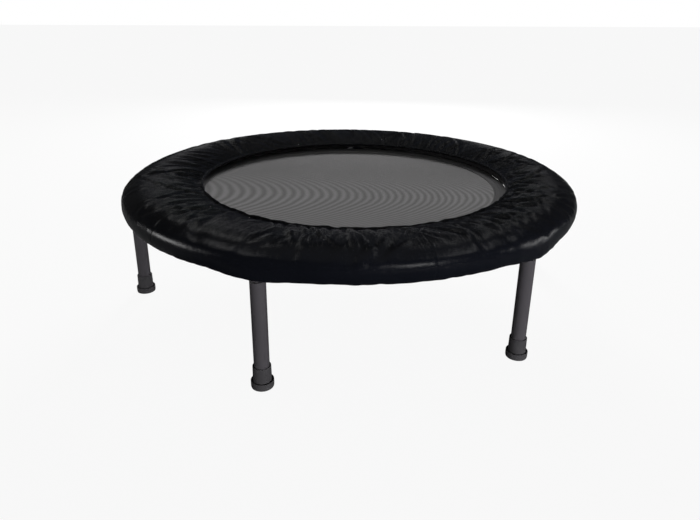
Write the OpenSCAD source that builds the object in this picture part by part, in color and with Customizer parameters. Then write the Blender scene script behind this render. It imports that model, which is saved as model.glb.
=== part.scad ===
// Round mini trampoline. A welded steel ring stands on six screw-in legs with
// rubber feet. A woven mat hangs inside the ring on coil springs, and a foam pad
// with a gathered vinyl cover lies over the springs and the ring.
// Millimetres, +Z up, origin on the floor under the middle of the mat.

/* [Frame] */
// Radius from the middle of the mat to the middle of the frame tube
ring_r = 444.5; // [425:0.5:465]
// Outside diameter of the frame, socket and leg tube
tube_d = 25.4; // [23:0.1:29]
// Wall of that tube
tube_wall = 1.5; // [1:0.1:2.5]
// Length of a leg socket, from the middle of the frame tube to its lower end
socket_drop = 22; // [18:0.5:32]

/* [Legs] */
// Length of a leg tube
leg_len = 183; // [130:1:260]
// Diameter of the stud that a leg screws onto
stud_d = 12; // [8:0.5:16]
// Length of the stud below its socket
stud_len = 26; // [22:1:60]
// Height of the nut welded into the top of a leg
nut_h = 16; // [8:1:24]
// Thickness of the washer between a socket and its leg
washer_t = 2; // [1:0.1:3]

/* [Feet] */
// Rubber under the end of a leg tube
foot_floor = 6; // [4:0.5:10]
// Overall height of a rubber foot
foot_h = 41; // [32:1:60]
// Height of its wide base
foot_base_h = 13; // [9:0.5:18]
// Diameter of that base
foot_base_d = 37.6; // [36.4:0.1:46]
// Rubber round the tube at the top of the foot
foot_wall = 2.6; // [2:0.1:3.4]
// How much wider the sleeve's radius is at the base than at the top
foot_flare = 1.4; // [0:0.1:1.6]

/* [Mat] */
// From the middle of the frame tube in to the edge of the mat
spring_room = 109.5; // [96:0.5:125]
// Thickness of the woven cloth
cloth_t = 1.4; // [0.8:0.1:2.5]
// Thickness of the webbing in the border and the tabs
web_t = 1.2; // [0.8:0.1:1.6]
// Width of the webbing border
border_w = 28; // [22:1:45]

/* [Springs] */
// Number of springs round the mat
spring_count = 30; // [24:6:36]
// Outside diameter of a spring's coil
coil_d = 14; // [11:0.5:17]
// Diameter of the spring wire
spring_wire = 2.4; // [1.8:0.1:2.8]
// Wire diameter of the triangular links on the mat
link_wire = 3; // [2.4:0.1:3.6]
// Width of a link where its tab holds it
link_w = 32; // [28:1:36]
// Reach of a link from its tab to the spring's hook
link_len = 22; // [18:0.5:26]

/* [Pad and cover] */
// How far the padding stands out past the frame tube
side_pad = 8.8; // [8:0.1:16]
// Height of the cover's crown above the top of the frame tube
crown_h = 27; // [24:0.5:60]
// Distance of the crown inside the middle of the frame tube
crown_in = 29; // [24:1:60]
// Height of the cover's widest line above the middle of the frame tube
girth_rise = 5; // [3:0.5:8]
// How far the skirt hangs below the middle of the frame tube
skirt_drop = 18.5; // [18:0.5:26]
// How far elastic draws the skirt in below its widest line
skirt_tuck = 16; // [8:0.5:16.5]
// How far the inner hem reaches over the mat
hem_lap = 14; // [6:0.5:24]
// Height of the inner hem above the mat
hem_lift = 19; // [17:0.5:24]
// Thickness of the vinyl
cover_t = 1.5; // [1:0.1:2]
// Diameter of the elastic cords
elastic_d = 3; // [2:0.1:3.4]
// Number of gathers round the inner hem
gather_count = 42; // [30:3:42]
// Height of a gather from its valley to its middle
gather_depth = 5; // [2:0.5:6]

/* [Hidden] */

$fn = 48;
leg_count = 6;
run_gap = 0.1;      // clearance of a stud in its nut and of a leg under its washer
fit_gap = 0.05;     // clearance of a foot on its leg
soft_gap = 1;       // room between the foam and what lies on or under it

tube_r = tube_d / 2;
bore_r = tube_r - tube_wall;
ring_z = foot_floor + leg_len + run_gap + washer_t + socket_drop;
socket_z = ring_z - socket_drop;
leg_top = foot_floor + leg_len;

mat_r = ring_r - spring_room;
tab_top = ring_z + web_t;
cloth_z = tab_top + web_t;
mat_top = cloth_z + cloth_t + web_t;

tab_w = link_w - 10;     // clear of the link's sloping sides
tab_wrap_r = link_wire / 2 + run_gap + web_t;
link_bar_r = mat_r + tab_wrap_r + 1.2;
link_tip_r = link_bar_r + link_len;
hook_r = 5;         // middle radius of a spring's hook
hook_mid = link_tip_r - link_wire / 2 - run_gap + hook_r - spring_wire / 2;
neck = 6;           // straight wire between a hook and the coil
coil_in = hook_mid + hook_r + neck;
coil_out = ring_r - tube_r - neck - 3;
tail_r = ring_r - bore_r + 3.6;
tail_bend = 3;
hole_d = spring_wire + 2.6;

outer_r = ring_r + tube_r + side_pad;
crown_r = ring_r - crown_in;
crown_z = ring_z + tube_r + crown_h;
girth_z = ring_z + girth_rise;
skirt_z = ring_z - skirt_drop;
skirt_in_r = outer_r - skirt_tuck;
skirt_leg_r = ring_r + tube_r + 1 + elastic_d + cover_t + 0.3;
hem_r = mat_r - hem_lap;
hem_z = mat_top + hem_lift;
columns = 2 * gather_count;

// A ring of tube, or a solid one when the inside radius is 0
module tube_ring(outside, inside) {
    rotate_extrude($fn = 96)
        translate([ring_r, ring_z])
            difference() {
                circle(r = outside);
                if (inside > 0) circle(r = inside);
            }
}

// Copies round the frame, one at each leg
module at_legs() {
    for (k = [0 : leg_count - 1])
        rotate([0, 0, 360 / leg_count * k]) children();
}

// Copies round the mat, one at each spring, none of them over a leg
module at_springs() {
    for (k = [0 : spring_count - 1])
        rotate([0, 0, 360 / spring_count * (k + 0.5)]) children();
}

// One leg's place, counted from 1
module at_leg(number) {
    rotate([0, 0, 360 / leg_count * (number - 1)])
        translate([ring_r, 0, 0]) children();
}

// A straight wire between two points at one height, run on past both by its overrun
module wire(from, to, d, overrun) {
    run = to - from;
    translate([from[0], from[1], 0])
        rotate([0, 0, atan2(run[1], run[0])])
            translate([-overrun, 0, 0])
                rotate([0, 90, 0]) cylinder(d = d, h = norm(run) + 2 * overrun, $fn = 16);
}

// Bent and welded ring tube, drilled on the inside for the springs' tails
module frame_ring() {
    color("#3c3c3e")
        difference() {
            tube_ring(tube_r, bore_r);
            at_springs()
                translate([ring_r - tube_r - 2, 0, ring_z])
                    rotate([0, 90, 0]) cylinder(d = hole_d, h = tube_r);
        }
}

// Short tubes, coped to fit the ring and welded under it
module leg_sockets() {
    color("#3c3c3e")
        difference() {
            at_legs()
                translate([ring_r, 0, socket_z])
                    difference() {
                        cylinder(r = tube_r, h = socket_drop - 3);
                        translate([0, 0, -1]) cylinder(r = bore_r, h = socket_drop);
                    }
            tube_ring(tube_r, 0);
        }
}

// Studs, each on a disc welded into the lower end of its socket
module leg_studs() {
    disc_h = 4;
    tip = 1.5;
    color("silver")
        at_legs()
            translate([ring_r, 0, socket_z]) {
                cylinder(r = bore_r - fit_gap, h = disc_h);
                translate([0, 0, tip - stud_len]) cylinder(d = stud_d, h = stud_len);
                translate([0, 0, -stud_len])
                    cylinder(d1 = stud_d - 2 * tip, d2 = stud_d, h = tip);
            }
}

module leg_washers() {
    color("silver")
        at_legs()
            translate([ring_r, 0, socket_z - washer_t])
                difference() {
                    cylinder(r = tube_r - 0.4, h = washer_t);
                    translate([0, 0, -1]) cylinder(d = stud_d + 0.8, h = washer_t + 2);
                }
}

module leg(number) {
    color("#3c3c3e")
        at_leg(number)
            translate([0, 0, foot_floor])
                difference() {
                    cylinder(r = tube_r, h = leg_len);
                    translate([0, 0, -1]) cylinder(r = bore_r, h = leg_len + 2);
                }
}

module leg_nut(number) {
    color("silver")
        at_leg(number)
            translate([0, 0, leg_top - nut_h])
                difference() {
                    cylinder(r = bore_r - fit_gap, h = nut_h);
                    translate([0, 0, -1]) cylinder(d = stud_d + 2 * run_gap, h = nut_h + 2);
                }
}

function arc(centre, r, from, to, steps) = [
    for (k = [0 : steps])
        let (a = from + (to - from) * k / steps)
            centre + r * [cos(a), sin(a)]
];

// Half section of a foot: a rounded base, a tapered sleeve and a lip round its top
function foot_outline() =
    let (
        base_r = foot_base_d / 2,
        top_r = tube_r + foot_wall,
        root_r = top_r + foot_flare,
        heel = 3,
        edge = 1.2,
        lip = 0.8
    )
    concat(
        [[0, 0]],
        arc([base_r - heel, heel], heel, -90, 0, 5),
        arc([base_r - edge, foot_base_h - edge], edge, 0, 90, 3),
        [
            [root_r + 0.4, foot_base_h],
            [root_r, foot_base_h + 0.8],
            [top_r, foot_h - 3.4],
            [top_r + lip, foot_h - 2.8],
            [top_r + lip, foot_h - 0.8],
            [top_r, foot_h],
            [0, foot_h]
        ]
    );

module foot(number) {
    color("#3a3a3c")
        at_leg(number)
            difference() {
                rotate_extrude() polygon(foot_outline());
                translate([0, 0, foot_floor]) cylinder(r = tube_r + fit_gap, h = foot_h);
            }
}

module mat() {
    color("#646464")
        translate([0, 0, cloth_z]) cylinder(r = mat_r - web_t, h = cloth_t, $fn = 120);
}

// Webbing folded over the edge of the cloth
module mat_border() {
    color("#161617")
        rotate_extrude($fn = 120)
            translate([mat_r - border_w, tab_top])
                difference() {
                    square([border_w, cloth_t + 2 * web_t]);
                    translate([-1, web_t]) square([border_w - web_t + 1, cloth_t]);
                }
}

// Webbing loops sewn under the border, each wrapped round the bar of a link
module mat_tabs() {
    color("#161617")
        at_springs()
            difference() {
                union() {
                    translate([mat_r - border_w + 4, -tab_w / 2, ring_z - web_t])
                        cube([link_bar_r - mat_r + border_w - 4, tab_w, 2 * web_t]);
                    translate([link_bar_r, tab_w / 2, ring_z])
                        rotate([90, 0, 0]) cylinder(r = tab_wrap_r, h = tab_w);
                }
                translate([link_bar_r, tab_w / 2 + 1, ring_z])
                    rotate([90, 0, 0])
                        cylinder(r = link_wire / 2 + run_gap, h = tab_w + 2);
            }
}

// Triangular wire links: a bar for the tab, two sides and a narrow tip for the hook
module spring_links() {
    side_wire = link_wire - 0.3;
    lap = link_wire * 0.4;
    heel = [link_bar_r, link_w / 2 - lap];
    tip = [link_tip_r, 4];
    color("silver")
        at_springs()
            translate([0, 0, ring_z]) {
                wire([heel[0], -heel[1]], heel, link_wire, lap);
                wire([tip[0], -tip[1]], tip, link_wire, lap);
                wire(heel, tip, side_wire, 0);
                wire([heel[0], -heel[1]], [tip[0], -tip[1]], side_wire, 0);
            }
}

// Half section of a close-wound coil: a row of ridges between two tapered shoulders
function coil_outline() =
    let (
        length = coil_out - coil_in,
        shoulder = 4,
        ridges = floor((length - 2 * shoulder) / 4.2),
        pitch = (length - 2 * shoulder) / ridges,
        r = coil_d / 2,
        groove = 0.7
    )
    concat(
        [[0, 0], [spring_wire / 2, 0]],
        [
            for (k = [0 : ridges - 1])
                for (p = [[r - groove, 0], [r, 0.3], [r, 0.7]])
                    [p[0], shoulder + pitch * (k + p[1])]
        ],
        [[r - groove, length - shoulder], [spring_wire / 2, length], [0, length]]
    );

// Springs with a hook through each link and a tail bent up inside the frame tube
module springs() {
    color("silver")
        at_springs()
            translate([0, 0, ring_z]) {
                translate([hook_mid, 0, 0])
                    rotate([90, 0, 0])
                        rotate_extrude(angle = 300)
                            translate([hook_r, 0]) circle(d = spring_wire, $fn = 16);
                translate([hook_mid + hook_r - 0.2, 0, 0])
                    rotate([0, 90, 0])
                        cylinder(d = spring_wire, h = neck + 0.6, $fn = 16);
                difference() {
                    translate([coil_in, 0, 0])
                        rotate([0, 90, 0]) rotate_extrude($fn = 24) polygon(coil_outline());
                    translate([coil_in + 5, 0, 0])
                        rotate([0, 90, 0])
                            cylinder(d = coil_d - 2 * spring_wire - 1.4,
                                     h = coil_out - coil_in - 10, $fn = 24);
                }
                translate([coil_out - 0.4, 0, 0])
                    rotate([0, 90, 0])
                        cylinder(d = spring_wire, h = tail_r - tail_bend - coil_out + 0.4, $fn = 16);
                translate([tail_r - tail_bend, 0, tail_bend])
                    rotate([90, 0, 0])
                        rotate([0, 0, -90])
                            rotate_extrude(angle = 90)
                                translate([tail_bend, 0]) circle(d = spring_wire, $fn = 16);
                translate([tail_r, 0, tail_bend])
                    cylinder(d = spring_wire, h = 2.5, $fn = 16);
            }
}

// A point on the cover's outer roll, from the crown (0) to the widest line (90)
function roll_point(a, inset) = [
    crown_r + (outer_r - inset - crown_r) * sin(a),
    girth_z + (crown_z - inset - girth_z) * cos(a)
];

// A point on the rise from the inner hem (0) to the crown (90)
function rise_point(a, inset) = [
    crown_r - (crown_r - hem_r - inset) * cos(a),
    hem_z + (crown_z - inset - hem_z) * sin(a)
];

// Radius of the skirt's lower edge, which passes outside every leg socket
function skirt_r(turn) =
    skirt_in_r + (skirt_leg_r - skirt_in_r) * pow(max(0, cos(leg_count * turn)), 4);

// The cover's line from above its hem to its skirt, moved in by inset and lifted by a gather
function shell(edge_r, inset, lift) = [
    rise_point(45, inset) + [0, lift],
    rise_point(90, inset) + [0, 0.5 * lift],
    roll_point(35, inset) + [0, 0.2 * lift],
    roll_point(65, inset),
    [outer_r - inset, girth_z],
    [edge_r - inset, skirt_z]
];

// Closed-cell foam, bent down over the outside of the frame tube
module foam_pad() {
    top = shell(skirt_in_r, cover_t + soft_gap, -gather_depth);
    inner_r = hem_r + elastic_d + 6;
    inner_top = hem_z - 3;
    bottom = ring_z + tube_r + soft_gap;
    side = ring_z + 2;
    tuck = (girth_z - side) * skirt_tuck / (girth_z - skirt_z);
    color("#2b2b2d")
        rotate_extrude($fn = 96)
            difference() {
                polygon([
                    [inner_r, bottom],
                    [inner_r, inner_top],
                    top[0],
                    top[1],
                    top[2],
                    top[3],
                    top[4],
                    top[4] - [tuck, girth_z - side],
                    [ring_r, side],
                    [ring_r, bottom]
                ]);
                translate([ring_r, ring_z]) circle(r = tube_r + soft_gap / 2);
            }
}

// Height that the gather in a column adds, uneven from one gather to the next
function gather(column) =
    let (
        side = column % 2 == 0 ? 1 : -1,
        strength = 0.72 + 0.28 * sin(97 * column)
    )
    side * strength * gather_depth;

// One closed section of the vinyl cover, outside first and then back along its lining
function cover_section(column) =
    let (
        edge_r = skirt_r(360 / columns * column),
        lift = gather(column),
        lining = shell(edge_r, cover_t, lift)
    )
    concat(
        [[hem_r, hem_z + 0.4 * lift]],
        shell(edge_r, 0, lift),
        [for (k = [len(lining) - 1 : -1 : 0]) lining[k]],
        [[hem_r + 3, hem_z - 3]]
    );

// A closed ring through one section for each column, with triangles only. From the
// point numbered lining_from on, quads are split the other way, to match the outside.
module section_ring(sections, lining_from) {
    turns = len(sections);
    sides = len(sections[0]);
    points = [
        for (i = [0 : turns - 1])
            for (p = sections[i])
                let (a = 360 / turns * i)
                    [p[0] * cos(a), p[0] * sin(a), p[1]]
    ];
    faces = [
        for (i = [0 : turns - 1])
            for (k = [0 : sides - 1])
                let (
                    j = (i + 1) % turns,
                    m = (k + 1) % sides,
                    a = i * sides + k,
                    b = i * sides + m,
                    c = j * sides + m,
                    d = j * sides + k
                )
                for (f = k < lining_from ? [[a, c, b], [a, d, c]] : [[a, d, b], [b, d, c]]) f
    ];
    polyhedron(points, faces, convexity = 6);
}

module cover() {
    color("#141416")
        section_ring([for (i = [0 : columns - 1]) cover_section(i)], 7);
}

module hem_elastic() {
    color("#222222")
        rotate_extrude($fn = 96)
            translate([hem_r + 3 + elastic_d / 2, hem_z - 3.4 - elastic_d / 2])
                circle(d = elastic_d, $fn = 16);
}

// Elastic inside the skirt's edge, outside every leg socket
module skirt_elastic() {
    r = elastic_d / 2;
    color("#222222")
        section_ring([
            for (i = [0 : columns - 1])
                let (mid_r = skirt_r(360 / columns * i) - cover_t - 0.3 - r)
                    [for (a = [0 : 90 : 270]) [mid_r, skirt_z + 3] + r * [cos(a), -sin(a)]]
        ], 4);
}

frame_ring();
leg_sockets();
leg_studs();
leg_washers();
leg(1);  // leg_1
leg(2);  // leg_2
leg(3);  // leg_3
leg(4);  // leg_4
leg(5);  // leg_5
leg(6);  // leg_6
leg_nut(1);  // leg_nut_1
leg_nut(2);  // leg_nut_2
leg_nut(3);  // leg_nut_3
leg_nut(4);  // leg_nut_4
leg_nut(5);  // leg_nut_5
leg_nut(6);  // leg_nut_6
foot(1);  // foot_1
foot(2);  // foot_2
foot(3);  // foot_3
foot(4);  // foot_4
foot(5);  // foot_5
foot(6);  // foot_6
mat();
mat_border();
mat_tabs();
spring_links();
springs();
foam_pad();
cover();
hem_elastic();
skirt_elastic();
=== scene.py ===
# Round mini trampoline. A welded steel ring on six screw-in legs carries a woven mat
# on coil springs, and a gathered vinyl cover over foam hides the springs and the ring.
# Metres, +Z up, origin on the floor under the middle of the mat.
import math

import bpy
import numpy as np
from mathutils import Matrix, Quaternion, Vector


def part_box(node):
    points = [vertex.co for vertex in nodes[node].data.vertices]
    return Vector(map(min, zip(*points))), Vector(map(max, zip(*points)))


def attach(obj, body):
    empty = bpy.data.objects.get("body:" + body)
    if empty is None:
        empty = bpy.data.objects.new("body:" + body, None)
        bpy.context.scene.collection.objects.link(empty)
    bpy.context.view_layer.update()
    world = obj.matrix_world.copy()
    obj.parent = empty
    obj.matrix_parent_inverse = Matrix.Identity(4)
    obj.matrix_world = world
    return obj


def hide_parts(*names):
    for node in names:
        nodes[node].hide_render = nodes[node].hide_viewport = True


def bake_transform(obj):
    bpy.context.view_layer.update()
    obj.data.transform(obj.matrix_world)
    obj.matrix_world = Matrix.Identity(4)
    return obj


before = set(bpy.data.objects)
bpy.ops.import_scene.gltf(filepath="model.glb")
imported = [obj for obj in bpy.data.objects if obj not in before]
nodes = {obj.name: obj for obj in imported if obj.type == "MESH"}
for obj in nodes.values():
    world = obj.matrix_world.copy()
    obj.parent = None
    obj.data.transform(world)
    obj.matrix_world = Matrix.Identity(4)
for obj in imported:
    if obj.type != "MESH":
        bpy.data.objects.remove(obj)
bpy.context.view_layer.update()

# ---------------------------------------------------------------- Camera
# A little to the left of the middle of the front, just over half a metre up, looking
# down at the mat.
camera_turn = math.radians(-12.04)
camera_back, camera_height = 1.2096, 0.5739
camera_pitch, camera_roll = 0.3529, 0.0097
sensor_width, focal_pixels, picture_width = 36.0, 578.1, 700
bpy.ops.object.camera_add()
camera = bpy.context.object
camera.data.sensor_width = sensor_width
camera.data.lens = sensor_width * focal_pixels / picture_width
camera.data.shift_x = 0.0014
camera.data.shift_y = -0.0548
camera.matrix_world = (
    Matrix.Rotation(camera_turn, 4, "Z")
    @ Matrix.Translation((0.0, -camera_back, camera_height))
    @ Matrix.Rotation(math.pi / 2 - camera_pitch, 4, "X")
    @ Matrix.Rotation(camera_roll, 4, "Z")
)
bpy.context.scene.camera = camera

# ---------------------------------------------------------------- Floor, lamps and air
# A pale studio floor and eleven soft boxes. One low behind and one low in front light
# the object, and nine weak ones draw the highlights in the vinyl. The air gives a
# little light from overhead.


def clear_selection():
    """Leaves nothing selected, because an operator acts on all that is."""
    if bpy.context.mode != "OBJECT":
        bpy.ops.object.mode_set(mode="OBJECT")
    bpy.ops.object.select_all(action="DESELECT")


def new_finish(name):
    """A new material, its node tree and its Principled shader."""
    finish = bpy.data.materials.new(name)
    finish.use_nodes = True
    return finish, finish.node_tree, finish.node_tree.nodes["Principled BSDF"]


def put_on(piece, finish):
    """Gives the piece that finish and no other."""
    piece.data.materials.clear()
    piece.data.materials.append(finish)


def feed(tree, sockets, values):
    """Sets each socket to its number, links it to its socket, or skips it for None."""
    for socket, value in zip(sockets, values):
        if isinstance(value, bpy.types.NodeSocket):
            tree.links.new(value, socket)
        elif value is not None:
            socket.default_value = value


def step(tree, kind, *values, out=0, **settings):
    """One output of a new shader node, whose inputs are fed in order."""
    node = tree.nodes.new(kind)
    for label, value in settings.items():
        setattr(node, label, value)
    feed(tree, node.inputs, values)
    return node.outputs[out]


def math_step(tree, operation, *values):
    return step(tree, "ShaderNodeMath", *values, operation=operation)


def spread(tree, value, low, high, to_low=0.0, to_high=1.0):
    """Takes low to high over to the range to_low to to_high, and holds it there."""
    return step(tree, "ShaderNodeMapRange", value, low, high, to_low, to_high)


def shade(tree, value, first, last):
    """A colour that runs from first, where value is 0, to last, where it is 1."""
    node = tree.nodes.new("ShaderNodeMix")
    node.data_type = "RGBA"
    tree.links.new(value, node.inputs[0])
    node.inputs[6].default_value = (*first, 1)
    node.inputs[7].default_value = (*last, 1)
    return node.outputs[2]


# How white the floor is to the camera, how pale it is to the light that falls on it,
# and how pale the vinyl mirrors it
floor_seen, floor_lit, floor_mirrored = 0.93, 0.36, 0.09
clear_selection()
bpy.ops.mesh.primitive_plane_add(size=40.0, location=(0.0, 0.0, 0.0))
floor = bpy.context.object
floor.name = "floor"
floor_finish, tree, shader = new_finish("floor_paint")
shader.inputs["Roughness"].default_value = 0.9
shader.inputs["Specular IOR Level"].default_value = 0.0
rays = tree.nodes.new("ShaderNodeLightPath").outputs
paint = shade(tree, rays["Is Glossy Ray"], [floor_lit] * 3, [floor_mirrored] * 3)
tree.links.new(paint, shader.inputs["Base Color"])
white = step(tree, "ShaderNodeEmission", (1, 1, 1, 1))
seen = math_step(tree, "MULTIPLY", rays["Is Camera Ray"], floor_seen)
surface = step(tree, "ShaderNodeMixShader", seen, shader.outputs[0], white)
tree.links.new(surface, tree.nodes["Material Output"].inputs["Surface"])
put_on(floor, floor_finish)

# The air is at its weakest up to sky_from, where 1 is straight up and 0 is level
sky_from, sky_weakest, sky_strongest = 0.72, 0.03, 0.14
air = bpy.data.worlds.new("air")
bpy.context.scene.world = air
air.use_nodes = True
tree = air.node_tree
way = tree.nodes.new("ShaderNodeTexCoord").outputs["Generated"]
up = step(tree, "ShaderNodeSeparateXYZ", way, out=2)
overhead = spread(tree, up, sky_from, 1.0, sky_weakest, sky_strongest)
seen = tree.nodes.new("ShaderNodeLightPath").outputs["Is Camera Ray"]
level = math_step(tree, "MAXIMUM", seen, overhead)
tree.links.new(level, tree.nodes["Background"].inputs["Strength"])
tree.nodes["Background"].inputs["Color"].default_value = (1, 1, 1, 1)


def soft_box(place, aim, width, height, watts, mirrored=True, lean=0.0):
    """A rectangular lamp that faces aim. One that isn't mirrored leaves no highlight."""
    bpy.ops.object.light_add(type="AREA", location=place)
    lamp = bpy.context.object
    lamp.data.shape = "RECTANGLE"
    lamp.data.size, lamp.data.size_y = width, height
    lamp.data.energy = watts
    facing = (Vector(aim) - Vector(place)).to_track_quat("-Z", "Y")
    lamp.rotation_euler = (facing @ Quaternion((0, 0, 1), math.radians(lean))).to_euler()
    lamp.visible_camera = False
    lamp.visible_glossy = mirrored


# Light on the object: low behind, which leaves a band of shade on the mat, and low in
# front, for the legs and feet
soft_box((0.65, 2.34, 0.98), (0.0, 0.0, 0.2), 0.80, 0.30, watts=150.0, mirrored=False)
soft_box((0.60, -2.2, 0.12), (0.0, 0.0, 0.1), 1.60, 0.18, watts=36.0, mirrored=False)
# Highlights on the outside of the roll, at the left front, the right front and the right
soft_box((-1.62, -0.04, 0.32), (-0.3, -0.3, 0.22), 0.60, 0.26, watts=2.2)
soft_box((0.49, -1.83, 0.72), (0.0, -0.4, 0.22), 0.34, 0.34, watts=1.8)
soft_box((1.60, -0.55, 0.32), (0.2, -0.4, 0.22), 0.50, 0.26, watts=1.3)
# Bright lines in the folds at the front: leaning strips behind, shorter ones above
# them, and a lamp high at each side
soft_box((-0.74, 2.51, 1.75), (0.0, -0.3, 0.25), 0.30, 3.2, watts=0.9, lean=-24.0)
soft_box((1.70, 1.99, 1.75), (0.0, -0.3, 0.25), 0.30, 3.2, watts=0.9, lean=24.0)
soft_box((-1.05, 1.62, 2.60), (0.0, -0.4, 0.25), 0.34, 1.5, watts=1.2, lean=-24.0)
soft_box((1.62, 1.05, 2.60), (0.0, -0.4, 0.25), 0.34, 1.5, watts=1.2, lean=24.0)
soft_box((-1.57, -0.18, 2.00), (0.0, -0.45, 0.25), 1.20, 0.30, watts=1.6)
soft_box((1.36, -0.80, 2.00), (0.0, -0.45, 0.25), 1.20, 0.30, watts=1.6)
bpy.context.scene.view_settings.view_transform = "Standard"

# ---------------------------------------------------------------- Ring, sockets and legs
# Steel tube, bent to a ring and welded shut, with six short sockets welded under it.
# A leg of the same tube screws on below each socket. All of it is powder-coated.


def summed(tree, *terms):
    """The sum of the terms: sockets, numbers, or pairs of a socket and its weight."""
    total = None
    for term in terms:
        if isinstance(term, tuple):
            term = math_step(tree, "MULTIPLY", *term)
        total = term if total is None else math_step(tree, "ADD", total, term)
    return total


def noise(tree, place, scale, detail=3.0, roughness=0.5):
    """A cloudy value round 0.5."""
    node = tree.nodes.new("ShaderNodeTexNoise")
    labels = ("Vector", "Scale", "Detail", "Roughness")
    feed(tree, [node.inputs[label] for label in labels], (place, scale, detail, roughness))
    return node.outputs["Fac"]


def relief(tree, height, depth, under=None):
    """A normal from a height of 0 to 1 that stands for depth in metres."""
    node = tree.nodes.new("ShaderNodeBump")
    labels = ("Distance", "Height", "Normal")
    feed(tree, [node.inputs[label] for label in labels], (depth, height, under))
    return node.outputs["Normal"]


def dress(tree, shader, colour, roughness, normal):
    """Gives a finish its colour, roughness and relief."""
    labels = ("Base Color", "Roughness", "Normal")
    feed(tree, [shader.inputs[label] for label in labels], (colour, roughness, normal))


def place_on(tree):
    return tree.nodes.new("ShaderNodeTexCoord").outputs["Object"]


def effect(name, inputs, outputs):
    """An empty node group for an effect, with its input and output nodes."""
    group = bpy.data.node_groups.new(name, "ShaderNodeTree")
    for label, start in inputs:
        kind = "NodeSocketVector" if start is None else "NodeSocketFloat"
        socket = group.interface.new_socket(label, in_out="INPUT", socket_type=kind)
        if start is not None:
            socket.default_value = start
    for label in outputs:
        group.interface.new_socket(label, in_out="OUTPUT", socket_type="NodeSocketFloat")
    return group, group.nodes.new("NodeGroupInput"), group.nodes.new("NodeGroupOutput")


def use_effect(tree, group, *values):
    """The effect's outputs, with its inputs fed in order."""
    node = tree.nodes.new("ShaderNodeGroup")
    node.node_tree = group
    feed(tree, node.inputs, values)
    return node.outputs


# Fine grain, slow drift and sparse specks, for every finish
grain, ends, out = effect(
    "grain", [("Place", None), ("Fine", 900.0), ("Slow", 9.0)], ["Grain", "Drift", "Specks"]
)
place = ends.outputs["Place"]
grain.links.new(noise(grain, place, ends.outputs["Fine"], 2.0, 0.6), out.inputs["Grain"])
grain.links.new(noise(grain, place, ends.outputs["Slow"], 4.0, 0.55), out.inputs["Drift"])
speckle = noise(grain, place, math_step(grain, "MULTIPLY", ends.outputs["Slow"], 14.0))
grain.links.new(spread(grain, speckle, 0.62, 0.72), out.inputs["Specks"])

coat, tree, shader = new_finish("dark_powder_coat")
look = use_effect(tree, grain, place_on(tree), 1400.0, 7.0)
gloss = spread(tree, look["Drift"], 0.3, 0.7, 0.36, 0.46)
dress(
    tree, shader,
    colour=shade(tree, look["Drift"], (0.062, 0.058, 0.065), (0.083, 0.078, 0.086)),
    roughness=summed(tree, gloss, (look["Specks"], 0.1)),
    normal=relief(tree, look["Grain"], 0.00008),
)
for name in ["frame_ring", "leg_sockets"] + ["leg_%d" % i for i in range(1, 7)]:
    put_on(nodes[name], coat)

# ---------------------------------------------------------------- Weld beads
# Each socket is welded to the ring along its coped top, and the ring's ends are welded
# to each other. Rippled beads, under the same coat as the steel.
ring_r, tube_r, socket_drop = 0.4445, 0.0127, 0.022
ring_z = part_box("leg_washers")[1].z + socket_drop
leg_turns = [math.radians(60 * i) for i in range(6)]
socket_bead_r, ring_bead_r, bead_lift = 0.0018, 0.0014, 0.0004
ring_joint = math.radians(102.0)


def rippled(bead, middle, ripples):
    """Swells and thins a torus bead round its own run, in ripples and seven slow waves."""
    for v in bead.data.vertices:
        flat = Vector((v.co.x - middle.x, v.co.y - middle.y, 0.0))
        turn = math.atan2(flat.y, flat.x)
        core = middle + flat.normalized() * (tube_r + bead_lift)
        swell = 1.0 + 0.14 * math.sin(ripples * turn) + 0.05 * math.sin(7 * turn)
        v.co = core + (v.co - core) * swell


def copy_round(first, turns, names):
    """Copies of first, each with its own mesh, turned round the middle; removes first."""
    copies = []
    for turn, name in zip(turns, names):
        copy = first.copy()
        copy.data = first.data.copy()
        copy.name = name
        copy.data.transform(Matrix.Rotation(turn, 4, "Z"))
        bpy.context.scene.collection.objects.link(copy)
        copies.append(copy)
    bpy.data.objects.remove(first)
    return copies


def picked(piece):
    """Selects the piece alone and makes it the active one."""
    clear_selection()
    piece.select_set(True)
    bpy.context.view_layer.objects.active = piece


def joined(pieces, name):
    """All the pieces as one."""
    picked(pieces[0])
    for piece in pieces:
        piece.select_set(True)
    bpy.ops.object.join()
    pieces[0].name = name
    return pieces[0]


def smoothed(piece, degrees=35.0):
    """Smooth shading that keeps edges sharper than that."""
    picked(piece)
    bpy.ops.object.shade_smooth_by_angle(angle=math.radians(degrees))
    return piece


def settled(piece):
    """Moves the piece's place into its mesh."""
    picked(piece)
    bpy.ops.object.transform_apply(location=True, rotation=True, scale=True)
    return piece


clear_selection()
bpy.ops.mesh.primitive_torus_add(
    location=(ring_r, 0.0, ring_z), major_radius=tube_r + bead_lift,
    minor_radius=socket_bead_r, major_segments=108, minor_segments=8,
)
socket_bead = settled(bpy.context.object)
rippled(socket_bead, Vector((ring_r, 0.0, ring_z)), 34)
for v in socket_bead.data.vertices:
    turn = math.atan2(v.co.y, v.co.x - ring_r)
    v.co.z -= tube_r * abs(math.sin(turn)) + bead_lift
beads = copy_round(socket_bead, leg_turns, ["bead_%d" % i for i in range(6)])
clear_selection()
bpy.ops.mesh.primitive_torus_add(
    location=(0.0, 0.0, 0.0), major_radius=tube_r, minor_radius=ring_bead_r,
    major_segments=72, minor_segments=8,
)
ring_bead = bpy.context.object
rippled(ring_bead, Vector((0.0, 0.0, 0.0)), 22)
ring_bead.data.transform(
    Matrix.Rotation(ring_joint, 4, "Z")
    @ Matrix.Translation((ring_r, 0.0, ring_z))
    @ Matrix.Rotation(math.pi / 2, 4, "X")
)
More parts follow.
